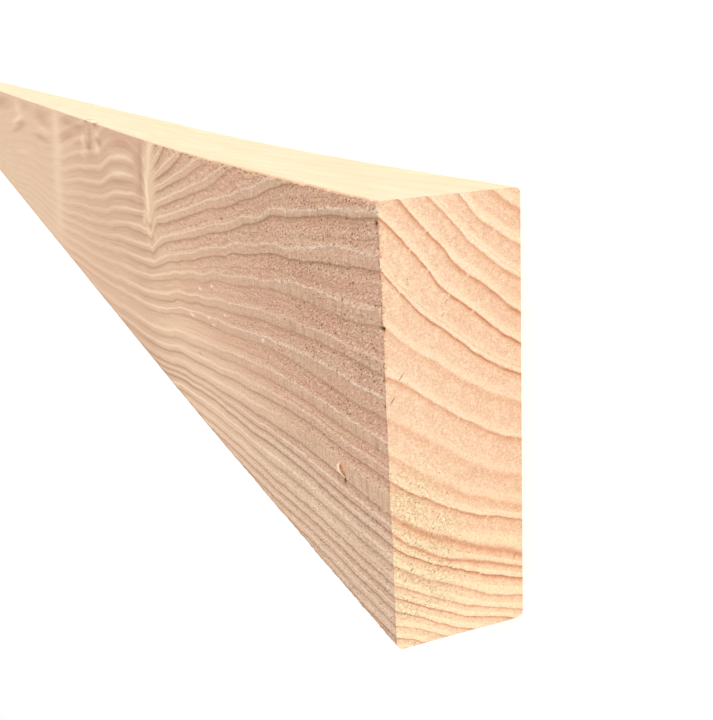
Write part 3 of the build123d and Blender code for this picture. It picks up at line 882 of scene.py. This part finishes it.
    # painted shade in the pits
    base = m.mix((holes_shaded * 0.62).clamp(), base, lin(120, 82, 60))
    on = 1.0 - w.step(4.0, 8.0)
    # painted shade in holes and dents, painted highlight on lifted splinters, and orange stains
    for s0, v0, ls, lv, shade in MARKS:
        g = (((s - s0) / ls).sq() * -1.0 - ((v - v0) / lv).sq()).exp()
        base = m.mix((g * on * {-1: 1.2, 1: 0.95, 2: 0.55, 3: 0.55}[shade]).clamp(), base, lin(*{-1: (84, 58, 44), 1: (252, 232, 210), 2: (226, 160, 112), 3: (140, 100, 76)}[shade]))
    dots = m.noise(m.vec(v * 1.05, s * 0.5, 2.0), 1.0, 1.0)
    base = m.mix(dots.step(0.46, 0.60) * (1.0 - s.step(0.5, 2.0)) * (0.40 + v.step(6.0, 14.0) * 0.30 - v.step(46.0, 80.0) * 0.5), base, lin(158, 104, 74))
    worn = m.noise(m.vec(s * 0.09, v * 0.3, w * 0.3 + 4.0), 1.0, 3.0, 0.7)
    base = m.mix((v + (worn - 0.5) * 7.0).step(140.5, 143.5) * 0.45, base, lin(176, 120, 88))
    fleck = m.noise(m.vec(s * 0.30, v * 0.9, w + 6.0), 1.0, 2.0, 0.6)
    base = m.mix(fleck.step(0.60, 0.70) * v.step(88.0, 100.0) * near * 0.6, base, lin(252, 226, 196))
    base = m.mix(fleck.step(0.37, 0.28) * v.step(88.0, 100.0) * near * 0.45, base, lin(150, 102, 74))
    pale, pink = m.field("pale"), m.field("pink")
    base = m.mix((pale * 0.9).clamp(), base, lin(248, 222, 188))
    base = m.mix((pale * -0.75).clamp(), base, lin(158, 116, 90))
    base = m.mix((pink * 0.4).clamp(), base, lin(200, 136, 116))
    height = band * 0.15 * wide + crest_highlight * crest_on * (0.55 - away * 0.4) + thread * low * 0.5 + torn * tears * 0.7 + stroke * fuzz * 1.2 - stroke2 * fuzz * 0.5 - holes_shaded * 1.2 - saw * band * near * 0.25 * wide
    return m.finish(base, 0.85, height, 0.0009, 0.9, 0.2)


def narrow_edge():
    m = Wood("narrow_edge_grain")
    s, v, w = m.s, m.v, m.w
    gap, phase = m.field("ring_gap"), m.field("ring")
    wob = (m.noise(m.vec(s * 0.03, v * 0.2, w * 0.3), 1.0, 2.0) - 0.5) * 2.0
    u = ((phase + 0.5).fract() - 0.5) * gap + wob
    up, down = u.min(0.0), u.max(0.0)
    late = ((up / 0.7).sq() * -1.0 - down / 2.4).exp()
    pores = m.noise(m.vec(s * 0.05, v * 1.0, w * 1.5), 1.0, 3.0, 0.65)
    saw = m.noise(m.vec(s * 0.5, v * 0.05, w * 0.05), 1.0, 2.0)
    # the edges' base tone is paler than the end's: partly the edge's own tone, partly painted light
    base = m.mix(m.noise(m.vec(s * 0.01, v * 0.1, w * 0.1), 1.0, 2.0).step(0.35, 0.65), lin(236, 209, 179), lin(232, 203, 171))
    base = m.mix(late * 0.30, base, lin(220, 184, 146))
    base = m.mix(pores.step(0.5, 0.72) * 0.28, base, lin(216, 184, 148))
    base = m.mix(saw.step(0.5, 0.8) * 0.10, base, lin(214, 182, 152))
    fringe = 1.0 - (w + (m.noise(m.vec(s * 0.45, v, w), 1.0, 2.0, 0.7) - 0.5) * 4.0).step(0.1, 1.5)
    base = m.mix(fringe * (1.0 - v.step(20.0, 40.0)) * (0.55 - s.step(60.0, 320.0) * 0.42), base, lin(200, 146, 108))
    for s0, w0, ls, lw, deep in ((560, 2.4, 3.2, 4.2, 0.75), (514, 1.0, 4.5, 2.4, 0.75)):
        g = (((s - s0) / ls).sq() * -1.0 - ((w - w0) / lw).sq() - (v / 8.0).sq()).exp()
        base = m.mix((g * deep).clamp(), base, lin(150, 104, 74))
    height = pores * 0.3 + saw * 0.3 + late * 0.2
    return m.finish(base, 0.8, height, 0.0004, 0.6, 0.25)


for mat in (end_grain(), wide_face(), narrow_edge()):
    plank.data.materials.append(mat)

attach(plank, "root")
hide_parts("plank")

# ---------------------------------------------------------------- floor and light
floor_mesh = bpy.data.meshes.new("floor")
R = 30.0
floor_mesh.from_pydata([(-R, -R, 0), (R, -R, 0), (R, R, 0), (-R, R, 0)], [], [(0, 1, 2, 3)])
floor = bpy.data.objects.new("floor", floor_mesh)
bpy.context.scene.collection.objects.link(floor)
fm = bpy.data.materials.new("floor_pale")
fm.use_nodes = True
fb = fm.node_tree.nodes["Principled BSDF"]
fb.inputs["Base Color"].default_value = (0.92, 0.92, 0.92, 1)
fb.inputs["Roughness"].default_value = 0.9
fb.inputs["Specular IOR Level"].default_value = 0.1
fb.inputs["Emission Color"].default_value = (1, 1, 1, 1)
fb.inputs["Emission Strength"].default_value = 0.22
floor.data.materials.append(fm)

scene = bpy.context.scene
scene.view_settings.view_transform = "Standard"
scene.view_settings.look = "None"
scene.view_settings.exposure = 0.0
scene.view_settings.gamma = 1.0
world = bpy.data.worlds.new("studio")
scene.world = world
world.use_nodes = True
bg = world.node_tree.nodes["Background"]
bg.inputs[0].default_value = (1.0, 1.0, 1.0, 1.0)
bg.inputs[1].default_value = 1.0

key_data = bpy.data.lights.new("key", "SUN")
key_data.energy = 1.35
key_data.angle = math.radians(9)
key_data.color = (1.0, 0.97, 0.92)
key = bpy.data.objects.new("key", key_data)
scene.collection.objects.link(key)
to_light = np.array([0.84, -0.50, 0.20])
to_light /= np.linalg.norm(to_light)


def aim(obj, direction):
    """Turns a light so that it shines from that direction."""
    from mathutils import Vector
    obj.rotation_mode = "QUATERNION"
    obj.rotation_quaternion = Vector(direction).to_track_quat("Z", "Y")


aim(key, to_light)
